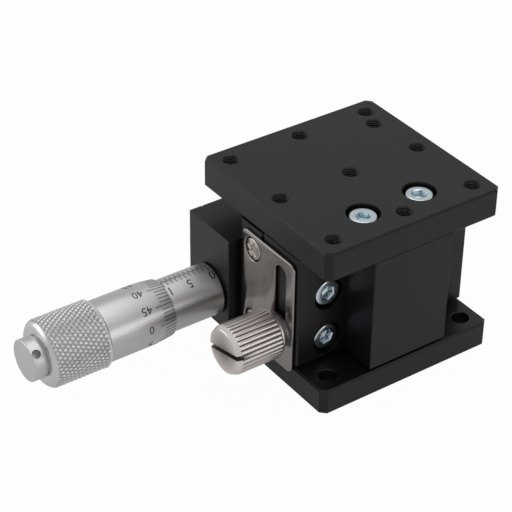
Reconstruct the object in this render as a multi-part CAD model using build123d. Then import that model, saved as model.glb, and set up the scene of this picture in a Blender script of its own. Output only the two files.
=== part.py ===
from build123d import *

import math
import os

# Vertical lift stage with a side micrometer, in millimetres.
# Origin: centre of the base plate's underside. +X runs along the micrometer, from its
# knob into the stage. +Z is up. The table is modelled at its lowest position.

# Plates
plate_width = 40.0
plate_depth = 40.0
table_thickness = 6.0
base_thickness = 5.5
plate_corner = 1.2
edge_break = 0.4
hole_margin = 4.0
grid_thread_radius = 1.5
thread_lead_in = 0.18
extra_hole_side = 5.4
base_hole_radius = 1.75
base_hole_break = 0.15

# Travel and the heights that follow from it
travel = 10.0
body_height = 24.2
table_rest_gap = 0.3
carriage_base_gap = 0.7
base_top = base_thickness
block_top = base_top + body_height
table_bottom = block_top + table_rest_gap
table_top = table_bottom + table_thickness

# Fixed rear block and the lift carriage in front of it
seam_gap = 0.3
carriage_thickness = 11.2
carriage_inset = 0.1
column_width = 18.0
column_inset = 0.3
body_break = 0.3
fine_break = 0.15
carriage_back = -seam_gap
carriage_front = carriage_back - carriage_thickness
carriage_bottom = base_top + carriage_base_gap

# Socket head screws: thread radius, head radius, head height, key width across flats
m3 = (1.5, 2.75, 3.0, 2.5)
m25 = (1.25, 2.25, 2.5, 2.0)
m2 = (1.0, 1.9, 2.0, 1.5)
head_clearance = 0.5
head_chamfer = 0.3
thread_clearance = 0.2
head_sink = 0.5
thread_run_out = 0.6

table_screw_x = 6.5
table_screw_front = 7.7
table_screw_length = 10.0
rail_screw_z = (3.8, 13.8)
rail_screw_grip = 2.6
block_screw_length = 7.2
block_screw_side = 2.8
block_screw_seam = 7.5
block_screw_x = 8.0
block_screw_rear = 2.7

# Crossed roller rails, seen from above: the roller plane lies between two V grooves
rail_side_margin = 4.3
rail_gap = 0.6
follower_rail_gap = 0.3
rail_depth = 5.6
rail_end_gap = 0.5
rail_relief = 0.5
roller_radius = 1.0
roller_length = 1.95
groove_clearance = 0.03
roller_count = 5
roller_pitch = 2.5
cage_thickness = 0.46
cage_depth = 4.4
cage_end = 1.6
window_clearance = 0.05
fixed_rail_screw_offset = 2.4
fixed_rail_screw_inset = 6.2

# Micrometer: its axis, and the radii and lengths of its turned parts
spindle_rear = 7.4
spindle_z = 11.25
bracket_plate_gap = 1.1
bracket_height = 19.5
bracket_drop = 0.63
bracket_thickness = 2.8
bracket_screw_gap = 4.2
bracket_blind_wall = 0.5
stem_radius = 3.0
tube_radius = 4.2
sleeve_radius = 5.22
sleeve_gap = 0.3
sleeve_zero = 1.12
sleeve_break = 0.2
rest_reading = 10.36
sleeve_wall_gap = 0.02
sleeve_length = 20.6
nut_radius = 4.9
nut_length = 2.4
nut_slot_width = 1.0
nut_slot_depth = 1.2
spindle_radius = 1.6
spindle_thread_radius = 2.0
running_clearance = 0.05
thimble_edge_radius = 5.67
thimble_radius = 6.1
thimble_taper = 4.02
thimble_plain = 10.35
thimble_bore_clearance = 0.11
grip_radius = 6.75
grip_length = 10.35
grip_lead = 0.35
nose_face_radius = 4.95
thimble_hub = 3.3
cap_radius = 4.12
cap_length = 2.75
cap_break = 0.2
cap_neck_radius = 3.5
cap_neck_length = 0.42
tool_hole_radius = 0.88
tool_hole_place = 1.05
tool_hole_angle = 134.0
cap_stub_radius = 1.2
cap_stub_length = 2.3

# Wedge and follower
wedge_width = 6.0
wedge_land = 1.0
wedge_lip = 0.8
ramp_margin = 0.9
wedge_side_clearance = 0.06
wedge_floor_clearance = 0.05
wedge_end_break = 0.5
pocket_floor_height = 1.5
pocket_end_clearance = 0.33
pocket_corner = 0.7
follower_x = 1.5
bearing_radius = 3.5
bearing_bore = 1.5
bearing_width = 3.0
bearing_ring = 0.65
bearing_floor_gap = 1.0
contact_gap = 0.02
pin_shoulder_radius = 1.9
pin_press_length = 5.2
clip_radius = 2.6
clip_thickness = 0.4
clip_mouth = 1.92
clip_groove = 0.3
pin_tail = 0.4
window_gap = 0.25

# Return spring, below the extra hole of the table
spring_bore_radius = 3.0
spring_bore_wall = 2.8
spring_radius = 2.0
spring_wire = 0.3
spring_link_radius = 0.27
spring_turns = 10
spring_loop_radius = 1.45
spring_pin_radius = 0.75
spring_pin_height = 2.0
spring_pin_bite = 1.6
anchor_drop = 2.6
anchor_thread_length = 3.2
anchor_neck_radius = 0.8
anchor_tab_thickness = 1.0
anchor_tab_reach = 1.0
anchor_eye_radius = 0.5
anchor_eye_seat = 0.09

# Side lock: slotted plate, washer and thumbscrew
lock_plate_thickness = 0.6
lock_plate_back = 5.6
lock_plate_front = -10.75
lock_plate_drop = 1.25
lock_plate_height = 24.35
lock_plate_corner = 1.5
lock_slot_width = 3.4
lock_slot_above = 12.35
lock_slot_below = 1.2
lock_y = -6.7
lock_z = 12.45
lock_screw_radius = 1.47
lock_thread_clearance = 0.05
lock_thread_run_out = 0.5
lock_plate_screw_y = 2.15
lock_plate_screw_top = 3.35
lock_plate_screw_low = 4.8
countersink_radius = 2.55
countersink_foot = 1.45
cross_head_sink = 0.12
cross_screw_length = 3.0
cross_arm = 2.7
cross_slot = 0.55
cross_depth = 0.45
washer_radius = 3.5
washer_thickness = 0.5
washer_gap = 0.03
collar_radius = 2.6
collar_length = 1.24
knob_rim = 0.45
knob_length = 8.9
knob_nose = 1.25
knob_nose_radius = 4.75
knob_face_radius = 4.4
knob_radius = 4.9
knob_ribs = 32
knob_rib_share = 0.72
knob_rib_depth = 0.36
knob_slot_width = 0.9
knob_slot_depth = 1.3
knob_slot_angle = -13.0

# Places that follow from the sizes above
side = plate_width / 2
rear = plate_depth / 2
hole_x = side - hole_margin
hole_y = rear - hole_margin
rail_face = carriage_back
rail_back = rail_face + rail_depth
groove_y = rail_face + rail_depth / 2
rail_inner = follower_x + pin_shoulder_radius + follower_rail_gap
rail_outer = side - rail_side_margin
rail_width = (rail_outer - rail_inner - rail_gap) / 2
roller_plane = (rail_outer + rail_inner) / 2
extra_hole_x = side - extra_hole_side
extra_hole_y = rail_back + rail_relief + spring_bore_wall + spring_bore_radius
table_screw_y = table_screw_front - rear
spindle_y = rear - spindle_rear
bracket_face = -side - bracket_thickness
bracket_front = lock_plate_back + bracket_plate_gap
tube_start = bracket_face - sleeve_gap
thimble_edge = bracket_face - sleeve_zero - rest_reading
grip_start = thimble_edge - thimble_taper - thimble_plain
nose_radius = grip_radius - nose_face_radius
thimble_end = grip_start - grip_length - nose_radius
thimble_floor = thimble_end + thimble_hub
thimble_bore = sleeve_radius + thimble_bore_clearance
cap_end = thimble_end - cap_length
pocket_floor = base_top + pocket_floor_height
bearing_z = pocket_floor + bearing_floor_gap + bearing_radius
contact_offset = bearing_radius / math.sqrt(2)
contact_x = follower_x - contact_offset
contact_z = bearing_z - contact_offset
ramp_sum = contact_x + contact_z - contact_gap * math.sqrt(2)
ramp_low = contact_z - ramp_margin
ramp_high = contact_z + travel + ramp_margin
wedge_start = ramp_sum - ramp_high - wedge_land
wedge_end = ramp_sum - ramp_low + wedge_lip
pocket_start = wedge_start - pocket_end_clearance
pocket_end = wedge_end + travel + pocket_end_clearance
pocket_half = wedge_width / 2 + wedge_side_clearance
pocket_front = spindle_y - pocket_half
pocket_back = spindle_y + pocket_half
spindle_tip = wedge_start - contact_gap
bearing_front = spindle_y - bearing_width / 2
bearing_rear = spindle_y + bearing_width / 2
spring_pin_z = base_top + spring_pin_height
lock_face = -side - lock_plate_thickness
lock_plate_bottom = base_top - lock_plate_drop
lock_plate_top = lock_plate_bottom + lock_plate_height
rail_screw_x = roller_plane + rail_gap / 2 + rail_width / 2
lock_tip = -rail_screw_x - m3[1]
groove_reach = (roller_radius + groove_clearance) * math.sqrt(2)


def block(x0, x1, y0, y1, z0, z1):
    """A rectangular block between two corners."""
    size = (x1 - x0, y1 - y0, z1 - z0)
    middle = ((x0 + x1) / 2, (y0 + y1) / 2, (z0 + z1) / 2)
    return Pos(*middle) * Box(*size)


def rod(start, direction, length, radius):
    """A round bar, also used as the tool for a round hole."""
    plane = Plane(origin=start, z_dir=direction)
    return extrude(plane * Circle(radius), length)


def cone(start, direction, length, radius, end_radius):
    """A tapered bar, also used as the tool for a countersink."""
    plane = Plane(origin=start, z_dir=direction)
    return plane.location * Pos(0, 0, length / 2) * Cone(radius, end_radius, length)


def turned(profile, y, z):
    """A turned piece: the profile holds (x, radius) points round an axis along X."""
    outline = Polyline(*[(x, radius) for x, radius in profile], close=True)
    face = make_face(Plane.XZ * outline)
    return Pos(0, y, z) * revolve(face, Axis.X)


def socket_screw(size, length, seat, outward, rim_chamfer=0.0):
    """A socket head screw whose head sits on the point seat and faces outward."""
    thread, head, height, key = size
    head_shape = Pos(0, 0, height / 2) * Cylinder(head, height)
    if rim_chamfer:
        head_shape = chamfer(head_shape.edges().group_by(Axis.Z)[-1], rim_chamfer)
    shank = Pos(0, 0, -length / 2) * Cylinder(thread, length)
    socket = extrude(Pos(0, 0, height / 2) * RegularPolygon(key / math.sqrt(3), 6), height)
    screw = head_shape + shank - socket
    return Plane(origin=seat, z_dir=outward).location * screw


def plate_blank(bottom, top):
    """A square plate with cut corners and broken edges."""
    blank = block(-side, side, -rear, rear, bottom, top)
    blank = chamfer(blank.edges().filter_by(Axis.Z), plate_corner)
    rims = blank.edges().group_by(Axis.Z)
    return chamfer(rims[0] + rims[-1], edge_break)


def threaded_hole(x, y, top, depth):
    """The tool for a tapped hole from above, with a small lead-in."""
    hole = rod((x, y, top), (0, 0, -1), depth, grid_thread_radius)
    mouth = grid_thread_radius + thread_lead_in
    return hole + cone((x, y, top), (0, 0, -1), thread_lead_in, mouth, grid_thread_radius)


def grid_places():
    """The nine tapped holes of the table, three by three."""
    return [(x, y) for x in (-hole_x, 0, hole_x) for y in (-hole_y, 0, hole_y)]


def corner_places(y_sign):
    """Two holes of the base's corners, in front or behind."""
    return [(x_sign * hole_x, y_sign * hole_y) for x_sign in (-1, 1)]


def block_screw_places():
    """The four screws that hold the rear block down."""
    places = ((side - block_screw_side, block_screw_seam), (block_screw_x, rear - block_screw_rear))
    return [(sign * x, y) for x, y in places for sign in (-1, 1)]


def make_base_plate():
    plate = plate_blank(0, base_top)
    for x, y in corner_places(-1):
        plate -= rod((x, y, 0), (0, 0, 1), base_top, base_hole_radius)
        rim = base_hole_radius + base_hole_break
        plate -= cone((x, y, base_top), (0, 0, -1), base_hole_break, rim, base_hole_radius)
    for x, y in corner_places(1):
        plate -= rod((x, y, 0), (0, 0, 1), base_top, grid_thread_radius)
    thread, head, height, key = m25
    for x, y in block_screw_places():
        plate -= rod((x, y, 0), (0, 0, 1), height + head_sink, head + thread_clearance)
        plate -= rod((x, y, 0), (0, 0, 1), base_top, thread + thread_clearance)
    return plate


def make_block_screws():
    seat_z = m25[2] + head_sink
    return [socket_screw(m25, block_screw_length, (x, y, seat_z), (0, 0, -1))
            for x, y in block_screw_places()]


def make_rear_block():
    body = block(-side, side, 0, rear, base_top, block_top)
    # behind the rails the block is no higher than the bracket
    body -= block(-side, side, bracket_front, rear, base_top + bracket_height, block_top)
    body = chamfer(body.edges().filter_by(Axis.Z), body_break)
    # rail channel, deeper behind the moving rails
    outer = rail_outer + rail_relief
    body -= block(-outer, outer, 0, rail_back, base_top, block_top)
    for sign in (-1, 1):
        x0, x1 = sorted((sign * roller_plane, sign * outer))
        body -= block(x0, x1, rail_back, rail_back + rail_relief, base_top, block_top)
    # wedge pocket, open at the top for assembly
    pocket = block(pocket_start, pocket_end, pocket_front, pocket_back, pocket_floor, block_top)
    body -= fillet(pocket.edges().filter_by(Axis.Z), pocket_corner)
    # slot that the follower pin rises in
    half = pin_shoulder_radius + window_gap
    low = bearing_z - half
    body -= block(follower_x - half, follower_x + half, rail_back, spindle_y, low, block_top)
    # spring bore and its cross pin
    body -= rod((extra_hole_x, extra_hole_y, base_top), (0, 0, 1), body_height,
                spring_bore_radius)
    pin_start, pin_length = spring_pin_span()
    body -= rod(pin_start, (0, 1, 0), pin_length, spring_pin_radius)
    # micrometer stem, bracket screw and set screw
    body -= rod((-side, spindle_y, spindle_z), (1, 0, 0), pocket_start + side, stem_radius)
    thread, head, height, key = m3
    body -= rod((-side, spindle_y, bracket_screw_z()), (1, 0, 0), pocket_start + side,
                thread + thread_clearance)
    body -= rod((pocket_start, spindle_y, bracket_screw_z()), (-1, 0, 0), height + head_sink,
                head + thread_clearance)
    body -= rod((set_screw_x(), rear, spindle_z), (0, -1, 0),
                rear - spindle_y, thread)
    # threads for the lock plate, the rails and the base screws
    for z in lock_screw_heights():
        body -= rod((-side, lock_plate_screw_y, z), (1, 0, 0), cross_screw_length + thread_run_out,
                    m25[0])
    for x, z in fixed_rail_screw_places():
        body -= rod((x, rail_back, z), (0, 1, 0), m2[2] + thread_run_out, m2[0])
    depth = block_screw_length + m25[2] + head_sink - base_top + thread_run_out
    for x, y in block_screw_places():
        body -= rod((x, y, base_top), (0, 0, 1), depth, m25[0])
    return body


def bracket_screw_z():
    return spindle_z + stem_radius + m3[1] + bracket_screw_gap


def set_screw_x():
    return (pocket_start - side) / 2


def lock_screw_heights():
    return (lock_plate_bottom + lock_plate_screw_low, lock_plate_top - lock_plate_screw_top)


def fixed_rail_screw_places():
    x = rail_inner + fixed_rail_screw_offset
    low = base_top + rail_end_gap + fixed_rail_screw_inset
    high = block_top - rail_end_gap - fixed_rail_screw_inset
    return [(sign * x, z) for sign in (-1, 1) for z in (low, high)]


def moving_rail_screw_places():
    return [(sign * rail_screw_x, carriage_bottom + z) for sign in (-1, 1) for z in rail_screw_z]


def spring_pin_span():
    length = 2 * (spring_bore_radius + spring_pin_bite)
    return (extra_hole_x, extra_hole_y - length / 2, spring_pin_z), length


def make_micrometer_bracket():
    bracket = block(bracket_face, -side, bracket_front, rear, base_top - bracket_drop,
                    base_top + bracket_height)
    bracket = chamfer(bracket.edges().group_by(Axis.X)[0], fine_break)
    bracket -= rod((bracket_face, spindle_y, spindle_z), (1, 0, 0), bracket_thickness,
                   stem_radius)
    return bracket - rod((-side, spindle_y, bracket_screw_z()), (-1, 0, 0),
                         bracket_thickness - bracket_blind_wall, m3[0])


def make_bracket_screw():
    seat = pocket_start - m3[2] - head_sink
    length = seat + side + bracket_thickness - bracket_blind_wall - thread_run_out
    return socket_screw(m3, length, (seat, spindle_y, bracket_screw_z()), (1, 0, 0))


def make_stem_set_screw():
    start = spindle_y + stem_radius
    screw = rod((set_screw_x(), start, spindle_z), (0, 1, 0), rear - start - head_sink, m3[0])
    plane = Plane(origin=(set_screw_x(), rear - head_sink, spindle_z), z_dir=(0, -1, 0))
    return screw - extrude(plane * RegularPolygon(m2[3] / math.sqrt(3), 6), m2[3])


def make_micrometer_barrel():
    tube_end = tube_start - sleeve_length
    stem_end = pocket_start - pocket_end_clearance
    barrel = turned([(stem_end, 0), (stem_end, stem_radius), (bracket_face, stem_radius),
                     (bracket_face, tube_radius), (tube_end - nut_length, tube_radius),
                     (tube_end - nut_length, 0)], spindle_y, spindle_z)
    barrel -= rod((stem_end, spindle_y, spindle_z), (-1, 0, 0), stem_end - tube_end + nut_length,
                  spindle_radius + running_clearance)
    return barrel - rod((bracket_face, spindle_y, spindle_z), (-1, 0, 0),
                        bracket_face - tube_end + nut_length,
                        spindle_thread_radius + running_clearance)


def make_scale_sleeve():
    end = tube_start - sleeve_length
    bore = tube_radius + sleeve_wall_gap
    return turned([(tube_start, bore), (tube_start, sleeve_radius - sleeve_break),
                   (tube_start - sleeve_break, sleeve_radius), (end, sleeve_radius),
                   (end, bore)], spindle_y, spindle_z)


def make_adjusting_nut():
    start = tube_start - sleeve_length
    bore = tube_radius + sleeve_wall_gap
    nut = turned([(start, bore), (start, nut_radius), (start - nut_length, nut_radius),
                  (start - nut_length, bore)], spindle_y, spindle_z)
    slot = block(start - nut_length, start - nut_length + nut_slot_depth, -nut_slot_width / 2,
                 nut_slot_width / 2, -nut_radius, nut_radius)
    return nut - Pos(0, spindle_y, spindle_z) * slot


def make_spindle():
    shoulder = tube_start - travel - edge_break
    spindle = turned([(spindle_tip, 0), (spindle_tip, spindle_radius - edge_break),
                      (spindle_tip - edge_break, spindle_radius), (shoulder, spindle_radius),
                      (shoulder - edge_break, spindle_thread_radius),
                      (thimble_end, spindle_thread_radius), (thimble_end, 0)],
                     spindle_y, spindle_z)
    return spindle - rod((thimble_end, spindle_y, spindle_z), (1, 0, 0),
                         cap_stub_length + head_sink, cap_stub_radius)


def make_thimble():
    taper_end = thimble_edge - thimble_taper
    lead_end = grip_start - grip_lead
    grip_end = grip_start - grip_length
    outline = Polyline((thimble_end, nose_face_radius), (thimble_end, spindle_thread_radius),
                       (thimble_floor, spindle_thread_radius), (thimble_floor, thimble_bore),
                       (thimble_edge, thimble_bore), (thimble_edge, thimble_edge_radius),
                       (taper_end, thimble_radius), (grip_start, thimble_radius),
                       (lead_end, grip_radius), (grip_end, grip_radius))
    nose = CenterArc((grip_end, nose_face_radius), nose_radius, 90, 90)
    face = make_face(Plane.XZ * (outline + nose))
    return Pos(0, spindle_y, spindle_z) * revolve(face, Axis.X)


def make_thimble_cap():
    shoulder = thimble_end - cap_neck_length
    cap = turned([(thimble_end, 0), (thimble_end, cap_neck_radius), (shoulder, cap_neck_radius),
                  (shoulder, cap_radius), (cap_end + cap_break, cap_radius),
                  (cap_end, cap_radius - cap_break), (cap_end, 0)], spindle_y, spindle_z)
    cap += rod((thimble_end, spindle_y, spindle_z), (1, 0, 0), cap_stub_length, cap_stub_radius)
    angle = math.radians(tool_hole_angle)
    outward = (0, math.cos(angle), math.sin(angle))
    middle = (cap_end + tool_hole_place, spindle_y, spindle_z)
    return cap - rod(middle, outward, 2 * cap_radius, tool_hole_radius)


def make_wedge_slider():
    low = pocket_floor + wedge_floor_clearance
    outline = Polyline((wedge_start, low), (wedge_start, ramp_high),
                       (wedge_start + wedge_land, ramp_high),
                       (wedge_end - wedge_lip, ramp_low), (wedge_end, ramp_low),
                       (wedge_end, low), close=True)
    face = Pos(0, spindle_y + wedge_width / 2, 0) * make_face(Plane.XZ * outline)
    wedge = extrude(face, wedge_width, dir=(0, -1, 0))
    upright = wedge.edges().filter_by(Axis.Z)
    return chamfer(upright, wedge_end_break)


def rail_groove(sign):
    """The tool for one V groove: a square bar on edge, along the rail."""
    height = 2 * (body_height + table_thickness + travel)
    half = roller_radius + groove_clearance
    bar = Box(2 * half, 2 * half, height)
    return Pos(sign * roller_plane, groove_y, base_top) * Rot(0, 0, 45) * bar


def make_fixed_rail(sign):
    outer = roller_plane - rail_gap / 2
    x0, x1 = sorted((sign * outer, sign * rail_inner))
    rail = block(x0, x1, rail_face, rail_back, base_top + rail_end_gap, block_top - rail_end_gap)
    rail -= rail_groove(sign)
    thread, head, height, key = m2
    for x, z in fixed_rail_screw_places():
        if x * sign > 0:
            rail -= rod((x, rail_face, z), (0, 1, 0), height + thread_clearance, head)
            rail -= rod((x, rail_face, z), (0, 1, 0), rail_depth, thread)
    return rail


def make_fixed_rail_screws():
    seat = rail_face + m2[2] + thread_clearance
    length = rail_depth - thread_clearance
    return [socket_screw(m2, length, (x, seat, z), (0, -1, 0))
            for x, z in fixed_rail_screw_places()]


def make_moving_rail(sign):
    x0, x1 = sorted((sign * (roller_plane + rail_gap / 2), sign * rail_outer))
    rail = block(x0, x1, rail_face, rail_back, carriage_bottom + rail_end_gap,
                 table_bottom - rail_end_gap)
    rail -= rail_groove(sign)
    for x, z in moving_rail_screw_places():
        if x * sign > 0:
            rail -= rod((x, rail_face, z), (0, 1, 0), rail_screw_grip + thread_run_out, m3[0])
    return rail


def make_moving_rail_screws():
    seat = carriage_front + m3[2] + head_sink
    length = rail_face + rail_screw_grip - seat
    return [socket_screw(m3, length, (x, seat, z), (0, -1, 0), head_chamfer)
            for x, z in moving_rail_screw_places()]


def roller_heights():
    """Roller places along the rails, centred where both rails overlap through the travel."""
    low = carriage_bottom + rail_end_gap
    high = block_top - rail_end_gap
    middle = (low + high) / 2
    first = middle - roller_pitch * (roller_count - 1) / 2
    return [first + roller_pitch * i for i in range(roller_count)]


def make_roller_cage(sign):
    heights = roller_heights()
    x = sign * roller_plane
    cage = block(x - cage_thickness / 2, x + cage_thickness / 2, groove_y - cage_depth / 2,
                 groove_y + cage_depth / 2, heights[0] - cage_end, heights[-1] + cage_end)
    half_y = roller_radius * math.sqrt(2) + window_clearance
    half_z = roller_radius + window_clearance
    for z in heights:
        cage -= block(x - cage_thickness, x + cage_thickness, groove_y - half_y, groove_y + half_y,
                      z - half_z, z + half_z)
    return cage


def make_rollers(sign):
    """Rollers cross: each one's axis is square to the next one's."""
    rollers = []
    for index, z in enumerate(roller_heights()):
        turn = 45 if index % 2 else -45
        roller = Rot(0, 0, turn) * Rot(90, 0, 0) * Cylinder(roller_radius, roller_length)
        rollers.append(Pos(sign * roller_plane, groove_y, z) * roller)
    return rollers


def make_top_plate():
    plate = plate_blank(table_bottom, table_top)
    for x, y in grid_places():
        plate -= threaded_hole(x, y, table_top, table_thickness)
    plate -= threaded_hole(extra_hole_x, extra_hole_y, table_top, table_thickness)
    thread, head, height, key = m3
    for x in (-table_screw_x, table_screw_x):
        mouth = (x, table_screw_y, table_top)
        plate -= rod(mouth, (0, 0, -1), height + head_sink, head + head_clearance)
        plate -= rod(mouth, (0, 0, -1), table_thickness, thread + thread_clearance)
    return plate


def make_table_screws():
    seat = table_top - m3[2] - head_sink
    return [socket_screw(m3, table_screw_length, (x, table_screw_y, seat), (0, 0, 1), head_chamfer)
            for x in (-table_screw_x, table_screw_x)]


def make_lift_carriage():
    half = side - carriage_inset
    wing = block(-half, half, carriage_front, carriage_back, carriage_bottom, table_bottom)
    wing = chamfer(wing.edges().filter_by(Axis.Z), body_break)
    column = block(-column_width / 2, column_width / 2, -rear + column_inset,
                   carriage_front + body_break, carriage_bottom, table_bottom)
    front = column.edges().filter_by(Axis.Z).group_by(Axis.Y)[0]
    body = wing + chamfer(front, fine_break)
    # clearance behind the fixed rails
    relief = roller_plane
    body -= block(-relief, relief, carriage_back - rail_relief, carriage_back, carriage_bottom,
                  table_bottom)
    thread, head, height, key = m3
    for x in (-table_screw_x, table_screw_x):
        depth = table_screw_length - (table_thickness - height - head_sink) + thread_run_out
        body -= rod((x, table_screw_y, table_bottom), (0, 0, -1), depth, thread)
    for x, z in moving_rail_screw_places():
        mouth = (x, carriage_front, z)
        body -= rod(mouth, (0, 1, 0), height + head_sink, head + head_clearance)
        body -= rod(mouth, (0, 1, 0), carriage_thickness, thread + thread_clearance)
    body -= rod((-side, lock_y, lock_z), (1, 0, 0), side + lock_tip + lock_thread_run_out,
                lock_screw_radius + lock_thread_clearance)
    pin_root = carriage_back - rail_relief
    return body - rod((follower_x, pin_root, bearing_z), (0, -1, 0), pin_press_length,
                      pin_shoulder_radius)


def make_follower_pin():
    root = carriage_back - rail_relief - pin_press_length
    start = (follower_x, root, bearing_z)
    pin = rod(start, (0, 1, 0), bearing_front - root, pin_shoulder_radius)
    tail_end = bearing_rear + clip_thickness + pin_tail
    pin += rod(start, (0, 1, 0), tail_end - root, bearing_bore)
    groove = rod((follower_x, bearing_rear, bearing_z), (0, 1, 0), clip_thickness, bearing_radius)
    neck = rod((follower_x, bearing_rear, bearing_z), (0, 1, 0), clip_thickness,
               bearing_bore - clip_groove)
    return pin - (groove - neck)


def bearing_race(inner, outer):
    start = (follower_x, bearing_front, bearing_z)
    ring = rod(start, (0, 1, 0), bearing_width, outer)
    return ring - rod(start, (0, 1, 0), bearing_width, inner)


def make_bearing_clip():
    """An E-shaped retaining clip, open downwards."""
    start = (follower_x, bearing_rear, bearing_z)
    neck = bearing_bore - clip_groove
    clip = rod(start, (0, 1, 0), clip_thickness, clip_radius)
    clip -= rod(start, (0, 1, 0), clip_thickness, neck)
    return clip - block(follower_x - clip_mouth / 2, follower_x + clip_mouth / 2, bearing_rear,
                        bearing_rear + clip_thickness, bearing_z - clip_radius, bearing_z)


def make_spring_anchor():
    """A short threaded anchor whose flat tab has an eye for the spring's upper loop."""
    x, y = extra_hole_x, extra_hole_y
    low = table_bottom + thread_run_out
    eye_z = table_bottom - anchor_drop
    anchor = rod((x, y, low), (0, 0, 1), anchor_thread_length, grid_thread_radius)
    anchor += rod((x, y, eye_z), (0, 0, 1), low - eye_z, anchor_neck_radius)
    half = anchor_tab_thickness / 2
    reach = anchor_tab_reach
    anchor += block(x - half, x + half, y - reach, y + reach, eye_z - reach, eye_z + reach)
    # the neck is filed flat beside the tab
    for x0, x1 in ((x + half, x + anchor_neck_radius), (x - anchor_neck_radius, x - half)):
        anchor -= block(x0, x1, y - reach, y + reach, eye_z - reach, eye_z + reach)
    return anchor - rod((x - half, y, eye_z), (1, 0, 0), anchor_tab_thickness, anchor_eye_radius)


def make_spring_pin():
    start, length = spring_pin_span()
    return rod(start, (0, 1, 0), length, spring_pin_radius)


def make_return_spring():
    """A close coil with a loop at each end, hooked on the cross pin and the anchor's eye."""
    x, y = extra_hole_x, extra_hole_y
    reach = spring_loop_radius
    low_loop = spring_pin_z - spring_pin_radius - spring_wire - contact_gap + reach
    high_loop = table_bottom - anchor_drop - anchor_eye_seat - reach
    low = low_loop + reach - spring_wire / 2
    high = high_loop - reach + spring_wire / 2
    pitch = (high - low) / spring_turns
    path = Pos(x, y, low) * Helix(pitch, high - low, spring_radius)
    start = Plane(origin=path @ 0, z_dir=path % 0)
    coil = sweep(start * RegularPolygon(spring_wire, 6), path=path)
    for z, bend in ((low_loop, low), (high_loop, high)):
        section = Pos(x + reach, y, z) * RegularPolygon(spring_wire, 6)
        coil += revolve(section, Axis((x, y, z), (0, 1, 0)))
        coil += rod((x - spring_wire, y, bend), (1, 0, 0), spring_radius + spring_wire,
                    spring_link_radius)
    return coil


def make_lock_plate():
    sketch_plane = Plane(origin=(-side, 0, 0), x_dir=(0, -1, 0), z_dir=(-1, 0, 0))
    middle_y = -(lock_plate_back + lock_plate_front) / 2
    middle_z = (lock_plate_bottom + lock_plate_top) / 2
    outline = Pos(middle_y, middle_z) * RectangleRounded(
        lock_plate_back - lock_plate_front, lock_plate_height, lock_plate_corner)
    slot_low = lock_z - lock_slot_below
    slot_high = lock_z + lock_slot_above
    slot = Pos(-lock_y, (slot_low + slot_high) / 2) * Rot(0, 0, 90) * SlotCenterToCenter(
        slot_high - slot_low, lock_slot_width)
    plate = extrude(sketch_plane * (outline - slot), lock_plate_thickness)
    for z in lock_screw_heights():
        plate -= cone((lock_face, lock_plate_screw_y, z), (1, 0, 0), lock_plate_thickness,
                      countersink_radius, countersink_foot)
    return plate


def make_lock_plate_screws():
    """Countersunk cross-recess screws, seated a little below the plate's face."""
    screws = []
    top = lock_face + cross_head_sink
    slope = (countersink_radius - countersink_foot) / lock_plate_thickness
    head = countersink_radius - cross_head_sink * slope
    for z in lock_screw_heights():
        screw = cone((top, lock_plate_screw_y, z), (1, 0, 0), -side - top, head, countersink_foot)
        screw += rod((-side, lock_plate_screw_y, z), (1, 0, 0), cross_screw_length, m25[0])
        arm = cross_arm / 2
        half = cross_slot / 2
        for y_half, z_half in ((arm, half), (half, arm)):
            screw -= block(top, top + cross_depth, lock_plate_screw_y - y_half,
                           lock_plate_screw_y + y_half, z - z_half, z + z_half)
        screws.append(screw)
    return screws


def make_lock_washer():
    start = (lock_face - washer_gap, lock_y, lock_z)
    washer = rod(start, (-1, 0, 0), washer_thickness, washer_radius)
    return washer - rod(start, (-1, 0, 0), washer_thickness, lock_screw_radius + lock_thread_clearance)


def make_lock_thumbscrew():
    """A straight-ribbed thumbscrew with a plain tapered nose and a screwdriver slot."""
    collar_start = lock_face - 2 * washer_gap - washer_thickness
    rim_start = collar_start - collar_length
    rib_start = rim_start - knob_rim
    nose_start = rib_start - knob_length
    knob_end = nose_start - knob_nose
    root = knob_radius - knob_rib_depth
    screw = turned([(lock_tip, 0), (lock_tip, lock_screw_radius), (collar_start, lock_screw_radius),
                    (collar_start, collar_radius), (rim_start, collar_radius),
                    (rim_start, root), (nose_start, root), (nose_start, knob_nose_radius),
                    (knob_end, knob_face_radius), (knob_end, 0)], lock_y, lock_z)
    # each rib stands on the root cylinder and narrows to a flat crest
    half = math.pi * knob_radius / knob_ribs * knob_rib_share
    foot = root - knob_rib_depth
    shoulder = root + knob_rib_depth / 2
    rib = make_face(Polyline((-half, foot), (-half, shoulder), (-half / 2, knob_radius),
                             (half / 2, knob_radius), (half, shoulder), (half, foot), close=True))
    ribs = [Rot(0, 0, 360 / knob_ribs * i) * rib for i in range(knob_ribs)]
    plane = Plane(origin=(rib_start, lock_y, lock_z), x_dir=(0, 1, 0), z_dir=(-1, 0, 0))
    screw += extrude(plane * (Circle(root) + ribs), knob_length)
    slot = Box(2 * knob_slot_depth, 3 * knob_radius, knob_slot_width)
    return screw - Pos(knob_end, lock_y, lock_z) * Rot(knob_slot_angle, 0, 0) * slot


def save(name, shape):
    """Write one node's STEP file: a single solid, or a group of separate ones."""
    if isinstance(shape, list):
        shape = Compound(children=[piece.solid() for piece in shape])
    export_step(shape, os.path.join("parts", name + ".step"))


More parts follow.
